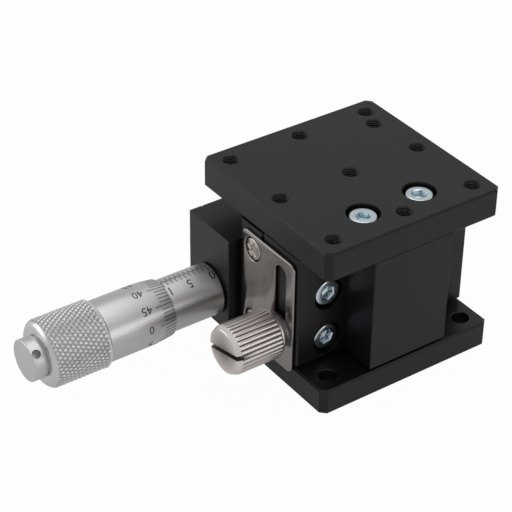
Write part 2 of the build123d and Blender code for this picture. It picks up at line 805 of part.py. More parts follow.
pieces = {
    "base_plate": make_base_plate(),
    "rear_block": make_rear_block(),
    "block_screws": make_block_screws(),
    "micrometer_bracket": make_micrometer_bracket(),
    "bracket_screw": make_bracket_screw(),
    "stem_set_screw": make_stem_set_screw(),
    "micrometer_barrel": make_micrometer_barrel(),
    "scale_sleeve": make_scale_sleeve(),
    "adjusting_nut": make_adjusting_nut(),
    "fixed_rail_left": make_fixed_rail(-1),
    "fixed_rail_right": make_fixed_rail(1),
    "fixed_rail_screws": make_fixed_rail_screws(),
    "lock_plate": make_lock_plate(),
    "lock_plate_screws": make_lock_plate_screws(),
    "spring_pin": make_spring_pin(),
    "return_spring": make_return_spring(),
    "wedge_slider": make_wedge_slider(),
    "thimble": make_thimble(),
    "thimble_cap": make_thimble_cap(),
    "spindle": make_spindle(),
    "top_plate": make_top_plate(),
    "lift_carriage": make_lift_carriage(),
    "table_screws": make_table_screws(),
    "moving_rail_left": make_moving_rail(-1),
    "moving_rail_right": make_moving_rail(1),
    "moving_rail_screws": make_moving_rail_screws(),
    "follower_pin": make_follower_pin(),
    "bearing_inner_ring": bearing_race(bearing_bore, bearing_bore + bearing_ring),
    "bearing_outer_ring": bearing_race(bearing_bore + bearing_ring + running_clearance,
                                       bearing_radius),
    "bearing_clip": make_bearing_clip(),
    "spring_anchor": make_spring_anchor(),
    "roller_cage_left": make_roller_cage(-1),
    "roller_cage_right": make_roller_cage(1),
    "rollers_left": make_rollers(-1),
    "rollers_right": make_rollers(1),
    "lock_washer": make_lock_washer(),
    "lock_thumbscrew": make_lock_thumbscrew(),
}

os.makedirs("parts", exist_ok=True)
for name, shape in pieces.items():
    save(name, shape)
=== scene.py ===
import math

import bmesh
import bpy
import numpy as np
from mathutils import Euler, Matrix, Vector


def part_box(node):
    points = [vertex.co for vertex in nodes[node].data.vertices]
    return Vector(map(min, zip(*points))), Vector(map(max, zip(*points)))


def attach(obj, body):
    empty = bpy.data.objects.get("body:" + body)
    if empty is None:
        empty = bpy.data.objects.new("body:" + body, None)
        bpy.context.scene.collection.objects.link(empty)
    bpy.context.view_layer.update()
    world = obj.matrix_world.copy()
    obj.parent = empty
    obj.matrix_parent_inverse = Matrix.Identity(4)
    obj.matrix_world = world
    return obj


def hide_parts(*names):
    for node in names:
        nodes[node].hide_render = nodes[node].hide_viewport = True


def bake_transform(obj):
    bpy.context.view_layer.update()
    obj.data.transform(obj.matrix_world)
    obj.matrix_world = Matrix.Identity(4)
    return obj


# Small vertical lift stage with a side micrometer. Lengths in the dictionaries are millimetres.
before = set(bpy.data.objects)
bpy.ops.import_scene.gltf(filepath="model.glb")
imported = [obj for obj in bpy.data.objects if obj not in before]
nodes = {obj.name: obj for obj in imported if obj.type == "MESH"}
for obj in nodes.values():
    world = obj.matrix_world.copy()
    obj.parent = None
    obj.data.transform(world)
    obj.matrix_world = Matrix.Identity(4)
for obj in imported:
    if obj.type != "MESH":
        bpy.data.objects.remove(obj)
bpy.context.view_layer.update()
mm = 0.001
print("frame loaded:", len(nodes), "nodes")


# Finishes. A socket that takes arithmetic lets shader maths read as plain expressions.
class Sock:
    def __init__(self, maker, out):
        self.maker = maker
        self.out = out

    def math(self, kind, other, swap=False):
        pair = (other, self) if swap else (self, other)
        return self.maker.node("ShaderNodeMath", {"operation": kind}, dict(enumerate(pair)))

    def __add__(self, other):
        return self.math("ADD", other)

    def __radd__(self, other):
        return self.math("ADD", other, True)

    def __sub__(self, other):
        return self.math("SUBTRACT", other)

    def __rsub__(self, other):
        return self.math("SUBTRACT", other, True)

    def __mul__(self, other):
        return self.math("MULTIPLY", other)

    def __rmul__(self, other):
        return self.math("MULTIPLY", other, True)

    def above(self, other):
        return self.math("GREATER_THAN", other)

    def most(self, other):
        return self.math("MAXIMUM", other)


class NodeMaker:
    def __init__(self, tree):
        self.tree = tree

    def node(self, kind, settings=None, ins=None, out=0):
        # settings first, then the values or links of the sockets
        made = self.tree.nodes.new(kind)
        for key, value in (settings or {}).items():
            setattr(made, key, value)
        for key, value in (ins or {}).items():
            if isinstance(value, Sock):
                self.tree.links.new(value.out, made.inputs[key])
            else:
                made.inputs[key].default_value = value
        return Sock(self, made.outputs[out])


class Finish(NodeMaker):
    # one material: plain numbers go straight on the shader, patterns are linked to it
    def __init__(self, name, plain):
        self.material = bpy.data.materials.new(name)
        self.material.use_nodes = True
        super().__init__(self.material.node_tree)
        self.shader = self.tree.nodes["Principled BSDF"]
        for key, value in plain.items():
            self.shader.inputs[key].default_value = value
        self.material.diffuse_color = plain["Base Color"]

    def place(self, centre=(0, 0, 0), stretch=(1, 1, 1)):
        # object coordinates moved to a piece's own centre and stretched, in metres
        coords = self.node("ShaderNodeTexCoord", out="Object")
        shifted = {0: coords, 1: tuple(c * mm for c in centre)}
        moved = self.node("ShaderNodeVectorMath", {"operation": "SUBTRACT"}, shifted)
        return self.node("ShaderNodeMapping", None, {"Vector": moved, "Scale": stretch})

    def noise(self, where, scale, detail=2.0):
        ins = {"Vector": where, "Scale": scale, "Detail": detail}
        return self.node("ShaderNodeTexNoise", None, ins, "Fac")

    def crest(self):
        # the mesh's crest attribute, which carries painted light and shade: 1 on a knurl's or a rib's crest
        # and less beside it, so the grooves get painted shade; plain rows carry fixed painted tones
        return self.node("ShaderNodeAttribute", {"attribute_name": "crest"}, None, "Fac")

    def mix(self, amount, first, second):
        # a Mix node's colours are its sockets 6 and 7, and its result for colours is output 2
        return self.node("ShaderNodeMix", {"data_type": "RGBA"}, {0: amount, 6: first, 7: second}, 2)

    def link(self, key, value):
        self.tree.links.new(value.out, self.shader.inputs[key])

    def bump(self, height, strength, depth):
        ins = {"Height": height, "Strength": strength, "Distance": depth * mm}
        self.link("Normal", self.node("ShaderNodeBump", None, ins, "Normal"))


def grey(value, warm=0.0):
    # a grey that leans warm (above 0) or cool (below 0)
    return (value * (1 + warm), value, value * (1 - warm), 1.0)


def dim(colour, share):
    return tuple(channel * share for channel in colour[:3]) + (1,)


# Scale is how fine a noise is, detail its octaves, rough what it adds to the roughness at most.
anodisedLook = {
    "cloudScale": 90, "cloudDetail": 3.0, "cloudRough": 0.08, "darkShare": 0.8, "lightShare": 1.25,
    "speckScale": 2600, "speckDetail": 1.0, "speckAbove": 0.79, "speckShare": 0.5, "speckTone": 0.22,
    "grainScale": 9000, "bumpStrength": 0.35, "bumpDepth": 0.01, "shine": 0.345,
}
turnedLook = {
    "ringScale": 7000, "ringStretch": (1, 0.02, 0.02), "ringRough": 0.12,
    "cloudScale": 160, "cloudRough": 0.06, "cloudShare": 0.93, "bumpStrength": 0.25, "bumpDepth": 0.008,
}
brushedLook = {
    "grainScale": 5200, "grainRough": 0.14, "cloudScale": 220, "cloudRough": 0.08, "cloudShare": 0.9,
    "bumpStrength": 0.2, "bumpDepth": 0.006,
}
ribbedLook = {
    "grainScale": 5200, "grainStretch": (0.06, 1, 1), "grainRough": 0.12,
    "cloudScale": 260, "cloudRough": 0.08, "cloudShare": 0.3, "paintedShadeShare": 0.85, "crestPolish": 0.1,
    "bumpStrength": 0.2, "bumpDepth": 0.006,
}
axisCentre = (0, 12.6, 11.25)  # a point on the micrometer's axis, which runs along X


def makeAnodised(name, tone, rough):
    # bead blasted and dyed aluminium: fine grain, faint cloudy tone, a few light specks
    look = anodisedLook
    made = Finish(name, {"Base Color": grey(tone), "Roughness": rough, "Specular IOR Level": look["shine"]})
    where = made.place()
    cloud = made.noise(where, look["cloudScale"], look["cloudDetail"])
    speck = made.noise(where, look["speckScale"], look["speckDetail"]).above(look["speckAbove"])
    base = made.mix(cloud, grey(tone * look["darkShare"]), grey(tone * look["lightShare"]))
    made.link("Base Color", made.mix(speck * look["speckShare"], base, grey(look["speckTone"])))
    made.link("Roughness", cloud * look["cloudRough"] + (rough - look["cloudRough"] / 2))
    made.bump(made.noise(where, look["grainScale"]), look["bumpStrength"], look["bumpDepth"])
    return made.material


def makeTurned(name, colour, rough, grooveShadeShare=None):
    # metal turned round the micrometer's axis: fine rings from noise that changes almost only along X;
    # with a groove share, the crest attribute paints shade: knurled metal is darker where the crest is low,
    # in its grooves
    look = turnedLook
    made = Finish(name, {"Base Color": colour, "Metallic": 1.0, "Roughness": rough})
    rings = made.noise(made.place(axisCentre, look["ringStretch"]), look["ringScale"])
    cloud = made.noise(made.place(axisCentre), look["cloudScale"])
    shown = made.mix(cloud, dim(colour, look["cloudShare"]), colour)
    # painted shade: the colour falls towards the groove share where the crest attribute is low
    if grooveShadeShare is not None:
        shown = made.mix(made.crest(), dim(colour, grooveShadeShare), shown)
    made.link("Base Color", shown)
    middle = rough - (look["ringRough"] + look["cloudRough"]) / 2
    made.link("Roughness", rings * look["ringRough"] + cloud * look["cloudRough"] + middle)
    made.bump(rings, look["bumpStrength"], look["bumpDepth"])
    return made.material


def makeBrushed(name, colour, rough, stretch=(1, 1, 1)):
    # metal with a grain drawn out along the axis whose stretch is small, or even all round
    look = brushedLook
    made = Finish(name, {"Base Color": colour, "Metallic": 1.0, "Roughness": rough})
    grain = made.noise(made.place(stretch=stretch), look["grainScale"])
    cloud = made.noise(made.place(), look["cloudScale"])
    made.link("Base Color", made.mix(cloud, dim(colour, look["cloudShare"]), colour))
    middle = rough - (look["grainRough"] + look["cloudRough"]) / 2
    made.link("Roughness", grain * look["grainRough"] + cloud * look["cloudRough"] + middle)
    made.bump(grain, look["bumpStrength"], look["bumpDepth"])
    return made.material


def makeRibbed(name, crestColour, grooveShadeColour, rough):
    # cut metal with painted shade: by the crest attribute the colour falls from the crest colour on the ribs
    # to a dark groove colour between them, with a little random cloud
    look = ribbedLook
    made = Finish(name, {"Base Color": crestColour, "Metallic": 1.0, "Roughness": rough})
    crest = made.crest()
    grain = made.noise(made.place(stretch=look["grainStretch"]), look["grainScale"])
    cloud = made.noise(made.place(), look["cloudScale"])
    amount = crest * look["paintedShadeShare"] + cloud * look["cloudShare"]
    made.link("Base Color", made.mix(amount, grooveShadeColour, crestColour))
    polished = grain * look["grainRough"] - crest * look["crestPolish"]
    made.link("Roughness", polished + cloud * look["cloudRough"] + rough)
    made.bump(grain, look["bumpStrength"], look["bumpDepth"])
    return made.material


finishes = {
    "black": makeAnodised("blackAnodised", 0.006, 0.36),
    "chrome": makeTurned("satinChrome", grey(0.63, 0.003), 0.34),
    # a bright chrome that the crest attribute scales down: painted shade in the knurl's grooves, a lighter
    # painted tone on the nose
    "knurlChrome": makeTurned("knurlChrome", grey(0.85, 0.003), 0.33, grooveShadeShare=0.18),
    "capChrome": makeTurned("capChrome", grey(0.65, 0.003), 0.4),
    "sleeveChrome": makeTurned("sleeveChrome", grey(0.6, 0.004), 0.35),
    "nickel": makeBrushed("warmNickel", (0.36, 0.33, 0.315, 1), 0.19, (1, 1, 0.02)),
    "screwNickel": makeBrushed("screwNickel", (0.62, 0.58, 0.53, 1), 0.2),
    "washerSteel": makeBrushed("washerSteel", (0.25, 0.235, 0.25, 1), 0.34),
    # the second colour is painted shade in the grooves between the knob's ribs
    "knobNickel": makeRibbed("knobNickel", (0.83, 0.77, 0.735, 1), (0.18, 0.155, 0.148, 1), 0.3),
    "zinc": makeBrushed("zincPlate", (0.70, 0.79, 0.84, 1), 0.22),
    "steel": makeBrushed("hardenedSteel", grey(0.4), 0.24, (1, 1, 0.03)),
    "spring": makeBrushed("springSteel", grey(0.42), 0.3),
    "oxide": makeAnodised("blackOxide", 0.012, 0.34),
    "brass": makeBrushed("turnedBrass", (0.62, 0.42, 0.17, 1), 0.3),
    "ink": makeAnodised("scaleInk", 0.012, 0.55),
}
nodeFinish = {
    "black": ["base_plate", "rear_block", "micrometer_bracket", "top_plate", "lift_carriage"],
    "chrome": ["micrometer_barrel", "thimble", "spindle"],
    "capChrome": ["thimble_cap"],
    "sleeveChrome": ["scale_sleeve"],
    "nickel": ["lock_plate"],
    "screwNickel": ["lock_plate_screws"],
    "washerSteel": ["lock_washer"],
    "knobNickel": ["lock_thumbscrew"],
    "zinc": ["table_screws", "moving_rail_screws", "fixed_rail_screws", "block_screws"],
    "steel": ["fixed_rail_left", "fixed_rail_right", "moving_rail_left", "moving_rail_right", "wedge_slider",
              "follower_pin", "bearing_inner_ring", "bearing_outer_ring", "rollers_left", "rollers_right",
              "spring_pin"],
    "spring": ["return_spring", "bearing_clip"],
    "oxide": ["bracket_screw", "stem_set_screw", "spring_anchor"],
    "brass": ["adjusting_nut", "roller_cage_left", "roller_cage_right"],
}
for finishName, names in nodeFinish.items():
    for name in names:
        mesh = nodes[name].data
        mesh.materials.clear()
        mesh.materials.append(finishes[finishName])
unset = sorted(set(nodes) - {name for names in nodeFinish.values() for name in names})
print("finishes made; nodes left without one:", unset)


# Camera, floor and lights.
studio = {
    "cameraPlace": (-181.203, -225.051, 216.227),
    "cameraTurn": (54.8971, -1.0543, -35.5989),  # degrees
    "lens": 128.522, "sensorWidth": 36.0, "shift": (-0.04766, 0.02732), "clip": (0.01, 20.0),
    "floorSize": 3000.0, "floorTone": 0.78, "floorWhite": 0.97, "roomLight": 0.42, "mirroredShare": 0.3,
    "lamps": {
        # name: place, target, width, height, brightness of its face
        "top": ((60, -10, 480), (-10, 0, 10), 760, 215, 1.02),
        "left": ((-420, 360, 185), (-30, 10, 25), 420, 310, 1.42),
        "front": ((230, -520, 140), (0, 0, 15), 380, 260, 0.85),
    },
}


def addLamp(name, place, target, width, height, glow):
    # a soft box: its power is its brightness times pi times its area
    data = bpy.data.lights.new(name + "Lamp", "AREA")
    data.shape = "RECTANGLE"
    data.size, data.size_y = width * mm, height * mm
    data.energy = glow * math.pi * data.size * data.size_y
    lamp = bpy.data.objects.new(name + "Lamp", data)
    bpy.context.scene.collection.objects.link(lamp)
    lamp.location = Vector(place) * mm
    lamp.rotation_euler = (Vector(target) - Vector(place)).to_track_quat("-Z", "Y").to_euler()


def addCamera():
    data = bpy.data.cameras.new("photoCamera")
    data.sensor_width, data.lens = studio["sensorWidth"], studio["lens"]
    data.shift_x, data.shift_y = studio["shift"]
    data.clip_start, data.clip_end = studio["clip"]
    camera = bpy.data.objects.new("photoCamera", data)
    bpy.context.scene.collection.objects.link(camera)
    turn = Euler([math.radians(angle) for angle in studio["cameraTurn"]]).to_matrix().to_4x4()
    camera.matrix_world = Matrix.Translation(Vector(studio["cameraPlace"]) * mm) @ turn
    bpy.context.scene.camera = camera


def whiteRays(made):
    # 1 where the camera looks straight or through glass, a share of it where metal mirrors the background
    seen, through, mirrored = (made.node("ShaderNodeLightPath", out="Is " + ray + " Ray")
                               for ray in ("Camera", "Transmission", "Glossy"))
    return seen.most(through.most(mirrored * studio["mirroredShare"]))


def addFloor():
    # pale paper that takes the object's shadow and is lifted to nearly white for the rays above
    half = studio["floorSize"] * mm / 2
    corners = [(-half, -half, 0), (half, -half, 0), (half, half, 0), (-half, half, 0)]
    mesh = bpy.data.meshes.new("studioFloor")
    mesh.from_pydata(corners, [], [(0, 1, 2, 3)])
    floor = bpy.data.objects.new("studioFloor", mesh)
    bpy.context.scene.collection.objects.link(floor)
    material = bpy.data.materials.new("studioFloor")
    material.use_nodes = True
    tree = material.node_tree
    tree.nodes.remove(tree.nodes["Principled BSDF"])
    made = NodeMaker(tree)
    paper = made.node("ShaderNodeBsdfDiffuse", None, {"Color": (studio["floorTone"],) * 3 + (1,)})
    white = made.node("ShaderNodeEmission", None, {"Color": (1, 1, 1, 1)})
    amount = whiteRays(made) * studio["floorWhite"]
    shown = made.node("ShaderNodeMixShader", None, {0: amount, 1: paper, 2: white})
    tree.links.new(shown.out, tree.nodes["Material Output"].inputs["Surface"])
    mesh.materials.append(material)


def addWorld():
    # white where the camera looks, softer light from the room elsewhere
    world = bpy.data.worlds.new("studioWorld")
    bpy.context.scene.world = world
    world.use_nodes = True
    tree = world.node_tree
    strength = whiteRays(NodeMaker(tree)) * (1 - studio["roomLight"]) + studio["roomLight"]
    back = tree.nodes["Background"]
    back.inputs["Color"].default_value = (1, 1, 1, 1)
    tree.links.new(strength.out, back.inputs["Strength"])


addCamera()
addFloor()
addWorld()
for lampName, values in studio["lamps"].items():
    addLamp(lampName, *values)
bpy.context.scene.view_settings.view_transform = "Standard"
print("camera, floor and lights set")

# Helpers for surfaces worked out on a grid.
smoothAngle = 32  # degrees between faces up to which an edge is shaded smooth
weldGap = 2e-7
boxFaces = [(0, 1, 3, 2), (4, 6, 7, 5), (0, 4, 5, 1), (2, 3, 7, 6), (0, 2, 6, 4), (1, 5, 7, 3)]


def fullTurn(count):
    # evenly spaced angles once round, in radians
    return np.arange(count) / count * 2 * np.pi


def wave(turns):
    # triangle wave of height 1: 0 at whole numbers, 1 halfway between them
    return 1 - np.abs(1 - 2 * np.mod(turns, 1.0))


def threadRadius(major, depth, pitch, along, angle):
    # V thread: the radius falls by its depth times the wave of length / pitch + turn
    return major - depth * wave(along / pitch + angle / (2 * np.pi))


def gridFaces(rows, columns):
    # quads between neighbouring rows and columns, with the last column joined to the first
    row = np.arange(rows - 1)[:, None] * columns
    column = np.arange(columns)[None, :]
    after = (column + 1) % columns
    corners = (row + column, row + after, row + columns + after, row + columns + column)
    return np.stack(np.broadcast_arrays(*corners), -1).reshape(-1, 4).tolist()


def barFaces(rows, columns):
    # the same with a flat face over each end
    last = (rows - 1) * columns
    ends = [list(range(columns)), list(range(last + columns - 1, last - 1, -1))]
    return gridFaces(rows, columns) + ends


def roundX(x, radius, angle, centre=axisCentre[1:]):
    # a point at radius and angle round an axis along X; the angle runs from +Y towards +Z
    x, radius, angle = np.broadcast_arrays(x, radius, angle)
    y, z = centre
    return np.stack([x, y + radius * np.cos(angle), z + radius * np.sin(angle)], -1)


def revolve(profile, angle, centre=axisCentre[1:]):
    # a profile of (x, radius) carried round an axis along X
    line = np.array(profile)[:, None, :]
    return roundX(line[..., 0], line[..., 1], angle[None, :], centre)


def joinShapes(shapes):
    # several (points, faces) as one
    points, faces, start = [], [], 0
    for somePoints, someFaces in shapes:
        flat = np.asarray(somePoints, float).reshape(-1, 3)
        points.append(flat)
        faces += [[start + index for index in face] for face in someFaces]
        start += len(flat)
    return np.concatenate(points), faces


def weldedMesh(name, points, faces, unit, crest=None):
    # welds the seams and poles and turns the faces outwards; crest is a number for each point
    mesh = bpy.data.meshes.new(name)
    mesh.from_pydata((points * unit).tolist(), [], faces)
    if crest is not None:
        mesh.attributes.new("crest", "FLOAT", "POINT").data.foreach_set("value", crest)
    work = bmesh.new()
    work.from_mesh(mesh)
    bmesh.ops.remove_doubles(work, verts=work.verts, dist=weldGap)
    bmesh.ops.recalc_face_normals(work, faces=work.faces)
    work.to_mesh(mesh)
    work.free()
    return mesh


def shade(mesh, sharp):
    mesh.shade_smooth()
    mesh.set_sharp_from_angle(angle=math.radians(sharp))


def addPiece(name, shapes, finish, body, stands=(), sharp=smoothAngle, crest=None):
    # a piece of one or more shapes, which rides on its body and may stand for a node
    points, faces = joinShapes(shapes)
    if crest is not None:
        crest = np.concatenate([part.ravel() for part in crest])
    mesh = weldedMesh(name, points, faces, mm, crest)
    mesh.materials.append(finishes[finish])
    shade(mesh, sharp)
    piece = bpy.data.objects.new(name, mesh)
    bpy.context.scene.collection.objects.link(piece)
    if body:
        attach(piece, body)
    if stands:
        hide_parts(*stands)
    return piece


def meshOf(thing):
    # the mesh that an object shows, with its modifiers or its curve worked out
    bpy.context.view_layer.update()
    return bpy.data.meshes.new_from_object(thing.evaluated_get(bpy.context.evaluated_depsgraph_get()))


def curveMesh(curve):
    # the mesh of a curve or a text, whose object isn't kept
    holder = bpy.data.objects.new(curve.name, curve)
    bpy.context.scene.collection.objects.link(holder)
    mesh = meshOf(holder)
    bpy.data.objects.remove(holder)
    return mesh


def cutAway(piece, points, faces):
    # takes a closed cutter out of a closed piece, in millimetres so that small lengths keep their accuracy
    cutter = bpy.data.objects.new("cutter", weldedMesh("cutter", points.reshape(-1, 3), faces, 1.0))
    bpy.context.scene.collection.objects.link(cutter)
    piece.data.transform(Matrix.Scale(1 / mm, 4))
    step = piece.modifiers.new("cut", "BOOLEAN")
    step.operation, step.solver, step.object, step.use_self = "DIFFERENCE", "EXACT", cutter, True
    shape = meshOf(piece)
    piece.modifiers.clear()
    piece.data = shape
    bpy.data.objects.remove(cutter)
    shape.transform(Matrix.Scale(mm, 4))
    shade(shape, smoothAngle)


# Micrometer thimble: bevelled scale end, plain barrel, diamond knurled grip and rounded nose.
thimbleSize = {
    "edge": -34.28, "edgeRadius": 5.67, "edgeRound": 0.06, "taperEnd": -38.3, "radius": 6.1,
    "gripStart": -48.65, "gripLead": 0.35, "gripFoot": 0.2, "gripRadius": 6.75, "gripEnd": -59.0,
    "relief": 0.06, "end": -60.8, "floor": -57.5, "bore": 5.33, "hub": 2.0, "noseSteps": 9, "sharp": 26,
    "knurlCounts": (40, 53), "knurlPitches": (1.5, 1.88), "knurlDepth": 0.27, "knurlFlat": 0.97,
    "knurlColumns": 530, "knurlStep": 0.15, "knurlMargin": 0.75, "plainLead": 0.5,
    # tones in the crest attribute: the barrel's matches the plain chrome, the nose's is a lighter painted
    # light, the knurl's power sets its painted groove shade
    "barrelShine": 0.68, "nosePaintedLight": 0.78, "knurlShinePower": 0.45,
}


def thimbleEnvelope(x):
    # radius of the grip before knurling: a short lead, a cylinder, then a quarter circle down to the face
    t = thimbleSize
    nose = t["gripEnd"] - t["end"]
    into = np.clip(t["gripEnd"] - x, 0, nose)
    drop = nose - np.sqrt(np.maximum(nose ** 2 - into ** 2, 0))
    lead = np.clip((t["gripStart"] - x) / t["gripLead"], 0, 1)
    return t["radius"] + (t["gripRadius"] - t["radius"]) * lead - drop


def makeThimble():
    # two families of V grooves, one turning each way: the lower of their two waves, cut off at the flat, is
    # the height of the diamonds; before and after them a plain profile is turned round the axis
    t = thimbleSize
    angle = fullTurn(t["knurlColumns"])
    knurlStart = t["gripStart"] - t["gripLead"]
    knurlRows = int((knurlStart - t["end"] - t["knurlMargin"]) / t["knurlStep"]) + 1
    along = (np.arange(knurlRows) * t["knurlStep"])[:, None]
    (countA, countB), (pitchA, pitchB) = t["knurlCounts"], t["knurlPitches"]
    turns = angle[None, :] / (2 * np.pi)
    height = np.minimum(wave(countA * turns - along / pitchA), wave(countB * turns + along / pitchB))
    raised = np.maximum(np.minimum(height / t["knurlFlat"], 1), 1 - along / t["plainLead"])
    x = knurlStart - along
    knurled = t["gripRadius"] - t["knurlDepth"] * (1 - raised)
    knurl = roundX(x, np.minimum(thimbleEnvelope(x), knurled), angle[None, :])
    edge, foot, relief, nose = t["edge"], t["gripStart"], t["relief"], t["gripEnd"] - t["end"]
    before = [(edge, t["bore"]), (edge, t["edgeRadius"] - t["edgeRound"]),
              (edge - t["edgeRound"], t["edgeRadius"]), (t["taperEnd"], t["radius"]),
              (foot + 2 * relief, t["radius"]), (foot + relief, t["radius"] - relief),
              (foot, t["radius"] - relief), (foot, t["radius"] + t["gripFoot"])]
    lastRow = knurlStart - (knurlRows - 1) * t["knurlStep"]
    bend = np.linspace(math.asin((t["gripEnd"] - lastRow) / nose), math.pi / 2, t["noseSteps"])[1:]
    after = [(t["gripEnd"] - nose * math.sin(b), t["gripRadius"] - nose + nose * math.cos(b)) for b in bend]
    after += [(t["end"], t["hub"]), (t["floor"], t["hub"]), (t["floor"], t["bore"]), (edge, t["bore"])]
    front = np.concatenate([revolve(before, angle), knurl[:1]])
    rear = np.concatenate([knurl[-1:], revolve(after, angle)])
    shapes = [(rows, gridFaces(len(rows), len(angle))) for rows in (front, knurl, rear)]
    # painted light and shade: one tone on the plain barrel, the knurl darker into its grooves, and a lighter
    # tone on the rounded nose for the light it catches
    crest = [np.full(front.shape[:2], t["barrelShine"]), raised ** t["knurlShinePower"],
             np.full(rear.shape[:2], t["nosePaintedLight"])]
    crest[0][-1], crest[2][0] = crest[1][0], crest[1][-1]
    addPiece("thimbleBody", shapes, "knurlChrome", "micrometer_thimble", ["thimble"],
             t["sharp"], crest)


makeThimble()

# Thimble cap: a plain disc on a neck, with a hole for its tool.
capSize = {
    "face": -63.55, "radius": 4.12, "break": 0.2, "breakSteps": 5, "lip": 0.06, "shoulder": -61.16,
    "neck": 3.88, "seat": -60.8, "stub": 1.2, "stubEnd": -58.5, "columns": 96,
    "hole": 0.8, "holeMouth": 0.88, "mouthLow": 0.16, "mouthHigh": 0.02, "holeFloor": 2.0, "holePlace": -62.5,
    "holeAngle": 134.0, "holeColumns": 32, "pinOver": 1.0,
}


def makeCap():
    # a profile turned round the axis; its edge is a quarter circle
    c = capSize
    bend = np.linspace(0, math.pi / 2, c["breakSteps"])
    profile = [(c["face"], 0.0)]
    profile += [(c["face"] + c["break"] * (1 - math.cos(b)), c["radius"] - c["break"] * (1 - math.sin(b)))
                for b in bend]
    profile += [(c["shoulder"] - c["lip"], c["radius"]), (c["shoulder"], c["radius"] - c["lip"]),
                (c["shoulder"], c["neck"]), (c["seat"], c["neck"]), (c["seat"], c["stub"]),
                (c["stubEnd"], c["stub"]), (c["stubEnd"], 0.0)]
    shape = (revolve(profile, fullTurn(c["columns"])), gridFaces(len(profile), c["columns"]))
    cap = addPiece("thimbleCapBody", [shape], "capChrome", "micrometer_thimble",
                   ["thimble_cap"])
    # the hole is cut by a round pin across the cap, whose radius grows at the cap's surface
    lean = math.radians(c["holeAngle"])
    outward = np.array([0, math.cos(lean), math.sin(lean)])
    across = np.array([0, -math.sin(lean), math.cos(lean)])
    middle = np.array([c["holePlace"], axisCentre[1], axisCentre[2]])
    spin = fullTurn(c["holeColumns"])[None, :, None]
    ends = np.array([(c["hole"], c["holeFloor"]), (c["hole"], c["radius"] - c["mouthLow"]),
                     (c["holeMouth"], c["radius"] + c["mouthHigh"]),
                     (c["holeMouth"], c["radius"] + c["pinOver"])])[:, None, :]
    ring = np.cos(spin) * np.array([1.0, 0, 0]) + np.sin(spin) * across
    pin = middle + ends[..., 1:] * outward + ends[..., :1] * ring
    cutAway(cap, pin, barFaces(len(ends), c["holeColumns"]))


makeCap()
print("thimble and cap made")


# Scales: filled lines and numerals on the sleeve and the thimble, angles in degrees.
scaleSize = {
    "lineWidth": 0.13, "proud": 0.008, "sunk": 0.05, "longEvery": 5, "markSteps": 5,
    "sleeveRadius": 5.22, "sleeveZero": -23.92, "sleevePitch": 1.0, "sleeveMarks": 13, "fiducial": 84.0,
    "fiducialOver": 0.5, "wholeMark": 15.0, "longMark": 18.0, "halfMark": 13.0,
    "sleeveDigit": 1.8, "sleeveDigitAngle": 114.5, "sleeveDigitShift": -0.1,
    "divisions": 50, "knownDivision": 40, "knownAngle": 101.0, "thimbleStart": 0.08, "thimbleMark": 2.62,
    "thimbleLongMark": 3.77, "thimbleDigit": 1.6, "thimbleDigitPlace": 5.72,
    "digitThick": 0.5, "digitSmooth": 3, "digitWeld": 1e-5,  # on digits about 1 high
    "digitEdge": 0.22, "digitCuts": 2,
}


def thimbleRadius(x):
    # the scale end tapers evenly
    t = thimbleSize
    return np.interp(x, (t["taperEnd"], t["edge"]), (t["radius"], t["edgeRadius"]))


def sleeveRadius(x):
    return np.full(np.shape(x), scaleSize["sleeveRadius"])


def markShape(x0, x1, angle0, angle1, radiusAt, steps=1):
    # a thin bar bent round the axis and let into the surface: its top stands a hair proud, its foot is sunk
    s = scaleSize
    x = np.array([x0, x1, x1, x0])[None, :]
    lift = np.array([s["proud"], s["proud"], -s["sunk"], -s["sunk"]])[None, :]
    angle = np.radians(np.linspace(angle0, angle1, steps + 1))[:, None]
    return roundX(x, radiusAt(x) + lift, angle), barFaces(steps + 1, 4)


def numeralShape(text, x, angle, height, radiusAt):
    # digits bent round the axis: they read towards -X, with their tops turned down the front
    s = scaleSize
    curve = bpy.data.curves.new("digits", "FONT")
    curve.body = text
    curve.align_x, curve.align_y = "CENTER", "CENTER"
    curve.extrude = s["digitThick"]
    curve.resolution_u = s["digitSmooth"]
    work = bmesh.new()
    work.from_mesh(curveMesh(curve))
    bmesh.ops.remove_doubles(work, verts=work.verts, dist=s["digitWeld"])
    bmesh.ops.triangulate(work, faces=work.faces)
    longEdges = [edge for edge in work.edges if edge.calc_length() > s["digitEdge"]]
    bmesh.ops.subdivide_edges(work, edges=longEdges, cuts=s["digitCuts"])
    bmesh.ops.triangulate(work, faces=work.faces)
    flat = np.array([vert.co for vert in work.verts])
    faces = [[vert.index for vert in face.verts] for face in work.faces]
    work.free()
    size = height / (flat[:, 1].max() - flat[:, 1].min())
    flat[:, 1] -= (flat[:, 1].max() + flat[:, 1].min()) / 2
    place = x - flat[:, 0] * size
    radius = radiusAt(place) + np.where(flat[:, 2] > 0, s["proud"], -s["sunk"])
    turn = math.radians(angle) + flat[:, 1] * size / radiusAt(place)
    return roundX(place, radius, turn), faces


